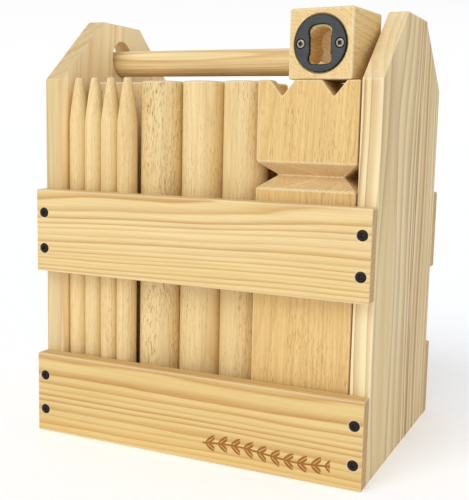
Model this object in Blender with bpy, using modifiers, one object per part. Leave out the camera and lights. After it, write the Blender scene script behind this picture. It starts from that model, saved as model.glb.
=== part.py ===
"""Lawn skittles game (king, batons, field blocks, stakes) standing in its slatted carry crate.

Frame: metres, +Z up, origin at the middle of the crate's footprint, on the ground.
X runs along the handle, the front slats face -Y and the handle pulls out towards -X.
"""

import math

import bmesh
import bpy
from mathutils import Matrix, Vector

OBJECT_NAME = "lawn_skittles_crate"
GAP = 0.0003                      # clearance between pieces that touch
OVERCUT = 0.001                   # of a cutter beyond the face it opens
BORE_OVERCUT = 0.005
SHANK_OVERLAP = 0.002             # of a second piece's screw hole in front of its face
WELD = 0.00001                    # vertices closer than this become one

# Crate
CRATE_WIDTH = 0.328
PANEL_THICKNESS = 0.018
PANEL_DEPTH = 0.214
SHOULDER_HEIGHT = 0.340
PEAK_HEIGHT = 0.401
PEAK_FLAT = 0.070
SLAT_THICKNESS = 0.015
SLAT_HEIGHT = 0.078
SLAT_BASES = {"lower": 0.0, "upper": 0.159}
SLAT_SCREW_INSET = 0.008          # from the end of the slat
SLAT_SCREW_SPREAD = 0.017         # above and below the slat's middle
FLOOR_TOP = 0.039
FLOOR_THICKNESS = 0.012
CLEAT_WIDTH = 0.018
CLEAT_HEIGHT = 0.018
CLEAT_LENGTH = 0.200
CLEAT_SCREW_Y = 0.070
FLOOR_SCREW_Y = 0.035
EASED_EDGE = 0.0010

# Handle
HANDLE_RADIUS = 0.013
HANDLE_AXIS_HEIGHT = 0.362
HANDLE_HOLE_RADIUS = 0.018
HANDLE_CHAMFER = 0.0015
SOCKET_DEPTH = 0.010
HANDLE_RECESS = 0.0005            # of its free end below the left panel's outer face

# Game pieces
GAME_BASE = FLOOR_TOP + GAP
KING_WIDTH = 0.090
KING_HEIGHT = 0.300
KING_SIDE_GAP = 0.002
KING_FRONT_GAP = 0.003            # behind the front slats
KING_EDGE = 0.0012
NECK_TOP = 0.231                  # of the groove, above the king's foot
NECK_HEIGHT = 0.0225
NECK_DEPTH = 0.015
CROWN_NOTCH_X = 0.0228
CROWN_NOTCH_WIDTH = 0.022
CROWN_NOTCH_DEPTH = 0.0135
CROWN_TOOTH_DEPTH = 0.0136         # of the corner teeth, front to back; the crown is open between them
BATON_RADIUS = 0.0205
BATON_LENGTH = 0.300
BATON_EDGE = 0.0018
BATON_CLEARANCE = 0.0004
BATON_FRONT_GAPS = (0.005, 0.008, 0.008)    # behind the front slats, one for each column
STAKE_RADIUS = 0.0095
STAKE_LENGTH = 0.303
STAKE_TIP_RADIUS = 0.0038
STAKE_TAPER = 0.038
STAKE_BELLY = 0.0011              # swell halfway up the taper
STAKE_FOOT_CHAMFER = 0.001
STAKE_PITCH = 0.0190
STAKE_FRONT_GAPS = (0.0058, 0.0040, 0.0022, 0.0004)
BLOCK_WIDTH = 0.058
BLOCK_HEIGHT = 0.150
BLOCK_EDGE = 0.0014
FRONT_STACK_SIDE_GAP = 0.0125     # between the left panel and the stack behind the stakes
FRONT_STACK_CLEARANCE = 0.0007    # in front of the handle, seen from above
REAR_COLUMNS = 4
REAR_PITCH = 0.074

# Bottle opener block
OPENER_BLOCK = (0.058, 0.060, 0.058)
OPENER_TURN = math.radians(-6)
OPENER_CENTRE = (0.1112, -0.0722)
PLATE_RADIUS = 0.0235
PLATE_THICKNESS = 0.003
PLATE_RECESS = 0.0022
SLOT_WIDTH = 0.018
SLOT_HEIGHT = 0.030
POCKET_RADIUS = 0.011
POCKET_BORE_LIFT = 0.0025
POCKET_FOOT_RADIUS = 0.0065       # of the two small bores at the pocket's foot
POCKET_FOOT_X = 0.0050
POCKET_FOOT_DROP = 0.0100
POCKET_DEPTH = 0.026
PLATE_SCREW_X = 0.0177

# Screws: head radius, head depth, shank radius, length
SLAT_SCREW = (0.00475, 0.003, 0.002, 0.040)
CLEAT_SCREW = (0.0040, 0.0025, 0.0018, 0.030)
FLOOR_SCREW = (0.0040, 0.0025, 0.0018, 0.025)
PLATE_SCREW = (0.0034, 0.0018, 0.0014, 0.016)
SCREW_STEPS = 10

# Finishes: colour, roughness, metallic
FINISHES = {
    "pine": ((0.83, 0.66, 0.38), 0.55, 0.0),
    "pine_end": ((0.80, 0.66, 0.42), 0.60, 0.0),
    "beech": ((0.80, 0.60, 0.33), 0.50, 0.0),
    "king_wood": ((0.82, 0.61, 0.33), 0.45, 0.0),
    "black_screw": ((0.02, 0.02, 0.02), 0.45, 0.6),
    "gunmetal": ((0.10, 0.11, 0.12), 0.40, 0.8),
}

panel_inner_x = CRATE_WIDTH / 2 - PANEL_THICKNESS
slat_inner_y = PANEL_DEPTH / 2
cleat_middle_z = FLOOR_TOP - FLOOR_THICKNESS - GAP - CLEAT_HEIGHT / 2


def clear_scene():
    for item in list(bpy.data.objects):
        bpy.data.objects.remove(item, do_unlink=True)


def new_collection(name):
    collection = bpy.data.collections.new(name)
    bpy.context.scene.collection.children.link(collection)
    return collection


def link_part(name, mesh, finish):
    """Put a mesh in the part collection under its node name, with a material of its own."""
    colour, roughness, metallic = FINISHES[finish]
    material = bpy.data.materials.new(f"{name}_{finish}")
    material.use_nodes = True
    shader = material.node_tree.nodes["Principled BSDF"]
    shader.inputs["Base Color"].default_value = (*colour, 1.0)
    shader.inputs["Roughness"].default_value = roughness
    shader.inputs["Metallic"].default_value = metallic
    mesh.name = name
    mesh.materials.clear()
    mesh.materials.append(material)
    part = bpy.data.objects.new(name, mesh)
    parts.objects.link(part)
    return part


def link_cutter(name, mesh):
    cutter = bpy.data.objects.new(name, mesh)
    cutter.hide_render = True
    cutter.display_type = "WIRE"
    cutters.objects.link(cutter)
    return cutter


def box_mesh(size, centre=(0, 0, 0)):
    mesh = bpy.data.meshes.new("box")
    shape = bmesh.new()
    bmesh.ops.create_cube(shape, size=1.0)
    bmesh.ops.scale(shape, vec=size, verts=shape.verts)
    bmesh.ops.translate(shape, vec=centre, verts=shape.verts)
    shape.to_mesh(mesh)
    shape.free()
    return mesh


def add_cylinder(shape, start, axis, radius, length, end_radius=None, segments=SCREW_STEPS):
    """A closed cylinder, or a cone frustum, from start along axis."""
    direction = Vector(axis).normalized()
    turn = direction.to_track_quat("Z", "Y").to_matrix().to_4x4()
    place = Matrix.Translation(Vector(start) + direction * length / 2) @ turn
    bmesh.ops.create_cone(shape, cap_ends=True, segments=segments, radius1=radius,
                          radius2=radius if end_radius is None else end_radius,
                          depth=length, matrix=place)


def cut(part, cutter):
    modifier = part.modifiers.new(cutter.name, "BOOLEAN")
    modifier.operation = "DIFFERENCE"
    modifier.solver = "EXACT"
    modifier.object = cutter


def ease_edges(part, width=EASED_EDGE, segments=1):
    bevel = part.modifiers.new("eased_edges", "BEVEL")
    bevel.width = width
    bevel.segments = segments
    bevel.limit_method = "ANGLE"
    bevel.angle_limit = math.radians(40)


def turned_mesh(profile):
    """A mesh of edges from (radius, height) pairs, top to bottom, for a Screw modifier."""
    mesh = bpy.data.meshes.new("profile")
    points = [(radius, 0.0, height) for radius, height in profile]
    mesh.from_pydata(points, [(i, i + 1) for i in range(len(points) - 1)], [])
    return mesh


def turn_profile(part, steps, smooth=True):
    screw = part.modifiers.new("turned", "SCREW")
    screw.axis = "Z"
    screw.angle = math.tau
    screw.steps = steps
    screw.render_steps = steps
    screw.use_smooth_shade = smooth
    screw.use_merge_vertices = True
    screw.merge_threshold = WELD


def screw_profile(head_radius, head_depth, shank_radius, length):
    point_length = 2 * shank_radius
    return [(0, 0), (head_radius, 0), (shank_radius, -head_depth),
            (shank_radius, point_length - length), (0, -length)]


def cutter_from(name, shape, parent=None):
    mesh = bpy.data.meshes.new(name)
    shape.to_mesh(mesh)
    shape.free()
    cutter = link_cutter(name, mesh)
    cutter.parent = parent
    return cutter


def cut_screw_hole(part, name, size, mouth, axis, parent=None, start=0.0, countersink=True):
    """Clearance for a screw whose head is flush with mouth and whose shank runs along axis.

    start is how far along the screw this piece begins, for a piece behind the first one.
    """
    head_radius, head_depth, shank_radius, length = size
    direction = Vector(axis).normalized()
    over = 0.0 if start else OVERCUT
    shank = bmesh.new()
    add_cylinder(shank, Vector(mouth) + direction * (start - over), direction, shank_radius + GAP,
                 length + 2 * GAP - start + over)
    cut(part, cutter_from(f"{name}_hole", shank, parent))
    if countersink:
        sink = bmesh.new()
        slope = (head_radius - shank_radius) / head_depth
        add_cylinder(sink, Vector(mouth) - direction * over, direction,
                     head_radius + 2 * GAP + slope * over, head_depth + over + GAP,
                     end_radius=shank_radius + GAP)
        cut(part, cutter_from(f"{name}_countersink", sink, parent))


def make_screw(name, size, mouth, axis, finish="black_screw"):
    screw = link_part(name, turned_mesh(screw_profile(*size)), finish)
    turn_profile(screw, SCREW_STEPS, smooth=False)
    screw.rotation_euler = (-Vector(axis)).to_track_quat("Z", "Y").to_euler()
    screw.location = mouth
    return screw


def slat_screw_places(side_y, base):
    """(label, place of the head) for the four screws of one slat; side_y is -1 or +1."""
    middle = base + SLAT_HEIGHT / 2
    outer_y = side_y * (slat_inner_y + SLAT_THICKNESS)
    for end, side_x in (("left", -1), ("right", 1)):
        x = side_x * (CRATE_WIDTH / 2 - SLAT_SCREW_INSET)
        for level, offset in (("high", SLAT_SCREW_SPREAD), ("low", -SLAT_SCREW_SPREAD)):
            yield f"{end}_{level}", Vector((x, outer_y, middle + offset))


def cleat_screw_places(side):
    """(label, place of the head) for the two screws through one cleat; side is -1 or +1."""
    x = side * (panel_inner_x - GAP - CLEAT_WIDTH)
    for label, side_y in (("front", -1), ("rear", 1)):
        yield label, Vector((x, side_y * CLEAT_SCREW_Y, cleat_middle_z))


def make_end_panel(name, side):
    """A gabled end board cut from one flat outline; side is -1 for the left end."""
    half_depth = PANEL_DEPTH / 2 - GAP
    half_flat = PEAK_FLAT / 2
    outline = [(-half_depth, 0), (half_depth, 0), (half_depth, SHOULDER_HEIGHT),
               (half_flat, PEAK_HEIGHT), (-half_flat, PEAK_HEIGHT), (-half_depth, SHOULDER_HEIGHT)]
    curve = bpy.data.curves.new(name, "CURVE")
    curve.dimensions = "2D"
    curve.fill_mode = "BOTH"
    curve.extrude = PANEL_THICKNESS / 2
    spline = curve.splines.new("POLY")
    spline.points.add(len(outline) - 1)
    for point, (y, z) in zip(spline.points, outline):
        point.co = (y, z, 0, 1)
    spline.use_cyclic_u = True
    drawing = bpy.data.objects.new(name, curve)
    parts.objects.link(drawing)
    bpy.context.view_layer.update()
    evaluated = drawing.evaluated_get(bpy.context.evaluated_depsgraph_get())
    mesh = bpy.data.meshes.new_from_object(evaluated)
    bpy.data.objects.remove(drawing, do_unlink=True)
    bpy.data.curves.remove(curve)
    shape = bmesh.new()
    shape.from_mesh(mesh)
    bmesh.ops.remove_doubles(shape, verts=shape.verts, dist=WELD)
    bmesh.ops.dissolve_limit(shape, angle_limit=math.radians(1), verts=shape.verts, edges=shape.edges)
    bmesh.ops.recalc_face_normals(shape, faces=shape.faces)
    # The outline's x and y become the panel's Y and Z, its thickness becomes X.
    upright = Matrix(((0, 0, 1, 0), (1, 0, 0, 0), (0, 1, 0, 0), (0, 0, 0, 1)))
    bmesh.ops.transform(shape, matrix=upright, verts=shape.verts)
    shape.to_mesh(mesh)
    shape.free()
    panel = link_part(name, mesh, "pine_end")
    panel.location = (side * (CRATE_WIDTH / 2 - PANEL_THICKNESS / 2), 0, 0)
    ease_edges(panel)
    return panel


def drill_end_panel(panel, side):
    """Holes for the handle, the slat screws and the cleat screws."""
    hole = bmesh.new()
    if side < 0:
        lift = HANDLE_HOLE_RADIUS - HANDLE_RADIUS - GAP
        start = (-CRATE_WIDTH / 2 - BORE_OVERCUT, 0, HANDLE_AXIS_HEIGHT + lift)
        add_cylinder(hole, start, (1, 0, 0), HANDLE_HOLE_RADIUS, PANEL_THICKNESS + 2 * BORE_OVERCUT,
                     segments=32)
    else:
        start = (panel_inner_x - BORE_OVERCUT, 0, HANDLE_AXIS_HEIGHT)
        add_cylinder(hole, start, (1, 0, 0), HANDLE_RADIUS + GAP, SOCKET_DEPTH + BORE_OVERCUT, segments=32)
    cut(panel, cutter_from(f"{panel.name}_handle_hole", hole))
    for face, side_y in (("front", -1), ("rear", 1)):
        for level, base in SLAT_BASES.items():
            for label, place in slat_screw_places(side_y, base):
                if place.x * side > 0:
                    cut_screw_hole(panel, f"{panel.name}_{face}_{level}_{label}", SLAT_SCREW, place,
                                   (0, -side_y, 0), start=SLAT_THICKNESS - SHANK_OVERLAP, countersink=False)
    for label, place in cleat_screw_places(side):
        cut_screw_hole(panel, f"{panel.name}_cleat_{label}", CLEAT_SCREW, place, (side, 0, 0),
                       start=CLEAT_WIDTH - SHANK_OVERLAP, countersink=False)


def make_floor():
    """The floor board on its two cleats, held by screws from above and through the cleats."""
    size = (2 * (panel_inner_x - GAP), 2 * (slat_inner_y - GAP), FLOOR_THICKNESS)
    floor = link_part("floor_board", box_mesh(size, (0, 0, -FLOOR_THICKNESS / 2)), "pine")
    floor.location = (0, 0, FLOOR_TOP)
    ease_edges(floor)
    for end, side in (("left", -1), ("right", 1)):
        x = side * (panel_inner_x - GAP - CLEAT_WIDTH / 2)
        cleat = link_part(f"floor_cleat_{end}", box_mesh((CLEAT_WIDTH, CLEAT_LENGTH, CLEAT_HEIGHT)), "pine")
        cleat.location = (x, 0, cleat_middle_z)
        ease_edges(cleat)
        for label, place in cleat_screw_places(side):
            cut_screw_hole(cleat, f"cleat_{end}_{label}", CLEAT_SCREW, place, (side, 0, 0))
            make_screw(f"cleat_screw_{end}_{label}", CLEAT_SCREW, place, (side, 0, 0))
            top_mouth = Vector((x, math.copysign(FLOOR_SCREW_Y, place.y), FLOOR_TOP))
            cut_screw_hole(floor, f"floor_{end}_{label}", FLOOR_SCREW, top_mouth, (0, 0, -1))
            cut_screw_hole(cleat, f"cleat_{end}_{label}_top", FLOOR_SCREW, top_mouth, (0, 0, -1),
                           start=FLOOR_THICKNESS - SHANK_OVERLAP, countersink=False)
            make_screw(f"floor_screw_{end}_{label}", FLOOR_SCREW, top_mouth, (0, 0, -1))


def make_slats():
    for face, side_y in (("front", -1), ("rear", 1)):
        for level, base in SLAT_BASES.items():
            name = f"{face}_{level}_slat"
            slat = link_part(name, box_mesh((CRATE_WIDTH, SLAT_THICKNESS, SLAT_HEIGHT)), "pine")
            slat.location = (0, side_y * (slat_inner_y + SLAT_THICKNESS / 2), base + SLAT_HEIGHT / 2)
            ease_edges(slat)
            for label, place in slat_screw_places(side_y, base):
                axis = (0, -side_y, 0)
                cut_screw_hole(slat, f"{name}_{label}", SLAT_SCREW, place, axis)
                make_screw(f"{face}_{level}_screw_{label}", SLAT_SCREW, place, axis)


def stick_profile(radius, length, edge):
    """A straight stick with a small chamfer at each end."""
    return [(0, length), (radius - edge, length), (radius, length - edge),
            (radius, edge), (radius - edge, 0), (0, 0)]


def make_handle():
    """A loose dowel: through the left panel's hole and into the right panel's blind socket."""
    left_end = -CRATE_WIDTH / 2 + HANDLE_RECESS
    right_end = panel_inner_x + SOCKET_DEPTH - GAP
    length = right_end - left_end
    profile = stick_profile(HANDLE_RADIUS, length, HANDLE_CHAMFER)
    handle = link_part("handle_dowel", turned_mesh(profile), "pine")
    turn_profile(handle, 32)
    handle.rotation_euler = (0, math.pi / 2, 0)
    handle.location = (left_end, 0, HANDLE_AXIS_HEIGHT)


def stake_profile():
    """A straight shaft and a slightly swollen taper that ends in a small flat."""
    rings = 4
    points = [(0, STAKE_LENGTH)]
    for i in range(rings + 1):
        t = i / rings
        swell = STAKE_BELLY * math.sin(math.pi * t)
        radius = STAKE_TIP_RADIUS + (STAKE_RADIUS - STAKE_TIP_RADIUS) * t + swell
        points.append((radius, STAKE_LENGTH - STAKE_TAPER * t))
    return points + [(STAKE_RADIUS, STAKE_FOOT_CHAMFER), (STAKE_RADIUS - STAKE_FOOT_CHAMFER, 0), (0, 0)]


def make_stakes():
    """Four stakes in a row beside the left panel, each a little nearer the front slats."""
    first_x = -panel_inner_x + STAKE_RADIUS + GAP
    for number, front_gap in enumerate(STAKE_FRONT_GAPS):
        stake = link_part(f"corner_stake_{number + 1}", turned_mesh(stake_profile()), "beech")
        turn_profile(stake, 16)
        y = -slat_inner_y + front_gap + STAKE_RADIUS
        stake.location = (first_x + number * STAKE_PITCH, y, GAME_BASE)


def make_batons():
    """Three batons beside the king and three behind them."""
    profile = stick_profile(BATON_RADIUS, BATON_LENGTH, BATON_EDGE)
    spacing = 2 * BATON_RADIUS + BATON_CLEARANCE
    last_x = panel_inner_x - KING_SIDE_GAP - KING_WIDTH - BATON_CLEARANCE - BATON_RADIUS
    columns = len(BATON_FRONT_GAPS)
    for row in range(2):
        for column, front_gap in enumerate(BATON_FRONT_GAPS):
            baton = link_part(f"baton_{row * columns + column + 1}", turned_mesh(profile), "beech")
            turn_profile(baton, 24)
            x = last_x - (columns - 1 - column) * spacing
            y = -slat_inner_y + front_gap + BATON_RADIUS + row * spacing
            baton.location = (x, y, GAME_BASE)


def make_king():
    """A square block: a V groove round its neck, a crown of four corner teeth and a middle ridge."""
    corner = KING_WIDTH / math.sqrt(2)
    waist = corner - NECK_DEPTH * math.sqrt(2)
    profile = [(0, KING_HEIGHT), (corner, KING_HEIGHT), (corner, NECK_TOP),
               (waist, NECK_TOP - NECK_HEIGHT / 2), (corner, NECK_TOP - NECK_HEIGHT), (corner, 0), (0, 0)]
    quarter_turn = Matrix.Rotation(math.radians(45), 4, "Z")
    mesh = turned_mesh(profile)
    mesh.transform(quarter_turn)
    king = link_part("king", mesh, "king_wood")
    turn_profile(king, 4, smooth=False)
    ease_edges(king, KING_EDGE)
    for label, side in (("left", -1), ("right", 1)):
        diamond = bmesh.new()
        add_cylinder(diamond, (0, -KING_WIDTH, 0), (0, 1, 0), 1.0, 2 * KING_WIDTH, segments=4)
        reach = max(abs(vertex.co.x) for vertex in diamond.verts)
        bmesh.ops.scale(diamond, vec=(CROWN_NOTCH_WIDTH / 2 / reach, 1, CROWN_NOTCH_DEPTH / reach),
                        verts=diamond.verts)
        bmesh.ops.translate(diamond, vec=(side * CROWN_NOTCH_X, 0, KING_HEIGHT), verts=diamond.verts)
        cut(king, cutter_from(f"crown_notch_{label}", diamond, parent=king))
        opening = box_mesh((KING_WIDTH / 2 + OVERCUT - CROWN_NOTCH_X, KING_WIDTH - 2 * CROWN_TOOTH_DEPTH,
                            CROWN_NOTCH_DEPTH + OVERCUT),
                           (side * (CROWN_NOTCH_X + KING_WIDTH / 2 + OVERCUT) / 2, 0,
                            KING_HEIGHT + (OVERCUT - CROWN_NOTCH_DEPTH) / 2))
        opening_cutter = link_cutter(f"crown_opening_{label}", opening)
        opening_cutter.parent = king
        cut(king, opening_cutter)
    king.location = (panel_inner_x - KING_SIDE_GAP - KING_WIDTH / 2,
                     -slat_inner_y + KING_FRONT_GAP + KING_WIDTH / 2, GAME_BASE)
    return king


def make_field_block(name, place, parent=None):
    block = link_part(name, box_mesh((BLOCK_WIDTH, BLOCK_WIDTH, BLOCK_HEIGHT), (0, 0, BLOCK_HEIGHT / 2)),
                      "beech")
    ease_edges(block, BLOCK_EDGE)
    block.location = place
    block.parent = parent
    return block


def make_field_blocks():
    """Ten blocks in stacks of two: one stack behind the stakes, the others along the rear slats."""
    front_x = -panel_inner_x + FRONT_STACK_SIDE_GAP + BLOCK_WIDTH / 2
    front_y = -HANDLE_RADIUS - FRONT_STACK_CLEARANCE - BLOCK_WIDTH / 2
    rear_y = slat_inner_y - 2 * GAP - BLOCK_WIDTH / 2
    places = [(front_x, front_y)]
    for column in range(REAR_COLUMNS):
        places.append(((column - (REAR_COLUMNS - 1) / 2) * REAR_PITCH, rear_y))
    for number, (x, y) in enumerate(places):
        lower = make_field_block(f"field_block_{2 * number + 1}", (x, y, GAME_BASE))
        make_field_block(f"field_block_{2 * number + 2}", (0, 0, BLOCK_HEIGHT + GAP), parent=lower)


def make_opener_block(king):
    """A cube of the same stock, standing a little askew on the king, with a drilled cap pocket."""
    depth, height = OPENER_BLOCK[1:]
    block = link_part("opener_block", box_mesh(OPENER_BLOCK, (0, 0, height / 2)), "beech")
    ease_edges(block, BLOCK_EDGE)
    block.parent = king
    block.location = (OPENER_CENTRE[0] - king.location.x, OPENER_CENTRE[1] - king.location.y,
                      KING_HEIGHT + GAP)
    block.rotation_euler = (0, 0, OPENER_TURN)
    # A wide recess takes the plate; behind it one large bore and two small ones make the pocket.
    bores = {"recess": (0, 0, PLATE_RADIUS + 2 * GAP, PLATE_RECESS, 40),
             "pocket_high": (0, POCKET_BORE_LIFT, POCKET_RADIUS, POCKET_DEPTH, 20),
             "pocket_left": (-POCKET_FOOT_X, -POCKET_FOOT_DROP, POCKET_FOOT_RADIUS, POCKET_DEPTH, 16),
             "pocket_right": (POCKET_FOOT_X, -POCKET_FOOT_DROP, POCKET_FOOT_RADIUS, POCKET_DEPTH, 16)}
    for name, (x, z, radius, reach, segments) in bores.items():
        bore = bmesh.new()
        add_cylinder(bore, (x, -depth / 2 - OVERCUT, height / 2 + z), (0, 1, 0), radius, reach + OVERCUT,
                     segments=segments)
        cut(block, cutter_from(name, bore, parent=block))
    return block


def make_opener_plate(block):
    """The round steel plate and its two screws; its origin is the middle of its back face."""
    depth, height = OPENER_BLOCK[1:]
    disc = bmesh.new()
    add_cylinder(disc, (0, 0, 0), (0, -1, 0), PLATE_RADIUS, PLATE_THICKNESS, segments=40)
    mesh = bpy.data.meshes.new("opener_plate")
    disc.to_mesh(mesh)
    disc.free()
    plate = link_part("opener_plate", mesh, "gunmetal")
    plate.parent = block
    plate.location = (0, PLATE_RECESS - GAP - depth / 2, height / 2)
    slot = link_cutter("opener_slot", box_mesh((SLOT_WIDTH, 4 * PLATE_THICKNESS, SLOT_HEIGHT)))
    slot.parent = plate
    cut(plate, slot)
    for label, side in (("left", -1), ("right", 1)):
        mouth = Vector((side * PLATE_SCREW_X, -PLATE_THICKNESS, 0))
        cut_screw_hole(plate, f"plate_{label}", PLATE_SCREW, mouth, (0, 1, 0), parent=plate)
        cut_screw_hole(block, f"block_{label}", PLATE_SCREW, mouth + plate.location, (0, 1, 0),
                       parent=block, start=PLATE_THICKNESS - SHANK_OVERLAP / 2, countersink=False)
        screw = make_screw(f"plate_screw_{label}", PLATE_SCREW, mouth, (0, 1, 0), "gunmetal")
        screw.parent = plate


def build():
    for end, side in (("left", -1), ("right", 1)):
        drill_end_panel(make_end_panel(f"{end}_end_panel", side), side)
    make_slats()
    make_floor()
    make_handle()
    make_stakes()
    make_batons()
    make_field_blocks()
    king = make_king()
    make_opener_plate(make_opener_block(king))


clear_scene()
parts = new_collection(OBJECT_NAME)
cutters = new_collection(f"{OBJECT_NAME}_cutters")
build()
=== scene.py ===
import math
import random

import bmesh
import bpy
from mathutils import Euler, Matrix, Vector


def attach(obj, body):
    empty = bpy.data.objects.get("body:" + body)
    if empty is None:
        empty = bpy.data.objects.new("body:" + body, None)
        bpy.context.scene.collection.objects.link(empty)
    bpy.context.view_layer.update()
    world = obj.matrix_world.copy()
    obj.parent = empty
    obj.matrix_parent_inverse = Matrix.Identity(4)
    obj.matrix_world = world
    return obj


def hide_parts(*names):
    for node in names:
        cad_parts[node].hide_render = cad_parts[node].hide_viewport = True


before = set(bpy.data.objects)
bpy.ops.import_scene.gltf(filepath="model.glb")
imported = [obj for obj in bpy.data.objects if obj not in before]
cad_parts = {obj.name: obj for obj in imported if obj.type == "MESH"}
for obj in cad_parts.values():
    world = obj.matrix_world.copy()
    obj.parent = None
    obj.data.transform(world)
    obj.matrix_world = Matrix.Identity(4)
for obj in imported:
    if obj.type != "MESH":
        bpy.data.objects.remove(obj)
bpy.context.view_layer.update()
scene = bpy.context.scene
print("frame loaded")


class Wire:                                   # one output socket, so that sums read as Python
    def __init__(self, maker, socket):
        self.maker, self.socket = maker, socket

    def calc(self, operation, *others):
        return self.maker.node("ShaderNodeMath", {"operation": operation}, [self, *others])

    def turned(self, operation, first):       # the reflected forms, with the number in front
        return self.maker.node("ShaderNodeMath", {"operation": operation}, [first, self])

    def __add__(self, other):
        return self.calc("ADD", other)

    def __sub__(self, other):
        return self.calc("SUBTRACT", other)

    def __mul__(self, other):
        return self.calc("MULTIPLY", other)

    def __truediv__(self, other):
        return self.calc("DIVIDE", other)

    def __pow__(self, other):
        return self.calc("POWER", other)

    def __rsub__(self, other):
        return self.turned("SUBTRACT", other)

    __radd__ = __add__
    __rmul__ = __mul__


class Maker:                                  # adds nodes to one shader or geometry tree
    def __init__(self, tree):
        self.tree = tree

    def node(self, kind, settings=None, values=None, out=0):
        made = self.tree.nodes.new(kind)
        for key, value in (settings or {}).items():
            if key == "stops":
                ramp = made.color_ramp
                ramp.elements.remove(ramp.elements[-1])
                for i, (spot, level) in enumerate(value):
                    stop = ramp.elements.new(spot) if i else ramp.elements[0]
                    stop.position, stop.color = spot, (level, level, level, 1.0)
            else:
                setattr(made, key, value)
        pairs = values.items() if isinstance(values, dict) else enumerate(values or [])
        for key, value in pairs:
            if isinstance(value, Wire):
                self.tree.links.new(value.socket, made.inputs[key])
            else:
                made.inputs[key].default_value = value
        return Wire(self, made.outputs[out])

    def finish(self, kind, wire):
        self.tree.links.new(wire.socket, self.tree.nodes.new(kind).inputs[0])

    def vector(self, operation, *values):
        return self.node("ShaderNodeVectorMath", {"operation": operation}, values)

    def join(self, *values):
        return self.node("ShaderNodeCombineXYZ", {}, values)

    def split(self, vector):
        first = self.node("ShaderNodeSeparateXYZ", {}, [vector])
        return [Wire(self, socket) for socket in first.socket.node.outputs]

    def blend(self, amount, first, second):
        return self.node("ShaderNodeMix", {"data_type": "RGBA"}, {0: amount, 6: first, 7: second}, out=2)

    def noise(self, place, stretch, detail=2.0, out=0):
        scaled = self.vector("MULTIPLY", place, stretch)
        return self.node("ShaderNodeTexNoise", {}, {"Vector": scaled, "Scale": 1.0, "Detail": detail}, out)

    def fade(self, value, low, high):         # 0 below low, 1 above high, and smooth between
        return self.node("ShaderNodeMapRange", {"interpolation_type": "SMOOTHSTEP"},
                         {"Value": value, "From Min": low, "From Max": high})

    def ramp(self, value, *stops):
        return self.node("ShaderNodeValToRGB", {"stops": stops}, [value])

    def attribute(self, name, out):
        return self.node("ShaderNodeAttribute", {"attribute_name": name}, out=out)


def shade(red, green, blue):                  # a screen colour, 0 to 255, as a shader takes it
    def linear(level):
        level = level / 255
        return level / 12.92 if level <= 0.04045 else ((level + 0.055) / 1.055) ** 2.4
    return (linear(red), linear(green), linear(blue), 1.0)


def newMaterial(name):
    material = bpy.data.materials.new(name)
    material.use_nodes = True
    material.node_tree.nodes.clear()
    return material, Maker(material.node_tree)


def closeMaterial(maker, values, height, strength, distance):
    bump = maker.node("ShaderNodeBump", {}, {"Height": height, "Strength": strength, "Distance": distance})
    surface = maker.node("ShaderNodeBsdfPrincipled", {}, {**values, "Normal": bump})
    maker.finish("ShaderNodeOutputMaterial", surface)


# Wood is cut out of a log: rings round a pith line, fibres along it, and end grain where a face cuts across.
# logPlace, an attribute of each piece, carries the piece's own place in its log.
grainAlong = {"x": Euler((0, -math.pi / 2, 0)), "y": Euler((math.pi / 2, 0, 0)), "z": Euler((0, 0, 0))}

slatLook = {
    "early": shade(238, 212, 156), "late": shade(196, 148, 78), "honey": shade(231, 198, 130),
    "endEarly": shade(208, 172, 118), "endLate": shade(138, 94, 50), "ringWidth": 0.0029,
    "ringStrength": 0.95, "drift": 0.020, "driftLength": 2.6, "endTint": 0.85, "pores": 0.0,
    "poreColour": shade(150, 105, 60), "fibre": 0.14, "roughness": 0.58,
}
lowSlatLook = dict(slatLook, ringWidth=0.0036, early=shade(228, 200, 136), honey=shade(220, 184, 112),
                   late=shade(186, 130, 60), drift=0.014)
panelLook = dict(slatLook, early=shade(245, 224, 176), late=shade(158, 112, 56), honey=shade(222, 188, 124),
                 endEarly=shade(240, 216, 168), endLate=shade(220, 186, 132), endTint=1.0,
                 ringWidth=0.0085, ringStrength=1.0, drift=0.030)
quietPanelLook = dict(panelLook, late=shade(196, 154, 98), ringStrength=0.6)
dowelLook = dict(slatLook, early=shade(246, 222, 168), late=shade(206, 160, 96), honey=shade(234, 198, 132),
                 ringWidth=0.0024, ringStrength=0.70, drift=0.008, fibre=0.30)
hardwoodLook = {
    "early": shade(238, 212, 156), "late": shade(214, 174, 110), "honey": shade(229, 194, 132),
    "endEarly": shade(230, 200, 148), "endLate": shade(186, 142, 84), "ringWidth": 0.0038,
    "ringStrength": 0.50, "drift": 0.020, "driftLength": 4.5, "endTint": 0.85, "pores": 0.58,
    "poreColour": shade(158, 110, 60), "fibre": 0.18, "roughness": 0.55,
}
smoothLook = dict(hardwoodLook, pores=0.32)
fleckedLook = dict(hardwoodLook, pores=0.85, poreColour=shade(146, 100, 52))
kingLook = dict(hardwoodLook, early=shade(230, 196, 132), late=shade(206, 162, 94),
                honey=shade(222, 182, 110), ringWidth=0.0022, ringStrength=0.45, pores=0.46,
                poreColour=shade(168, 114, 56), fibre=0.22)
openerLook = dict(hardwoodLook, early=shade(234, 202, 138), late=shade(194, 142, 76), ringWidth=0.0034,
                  ringStrength=0.45, drift=0.008, endEarly=shade(238, 210, 152), endLate=shade(226, 190, 130))


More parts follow.
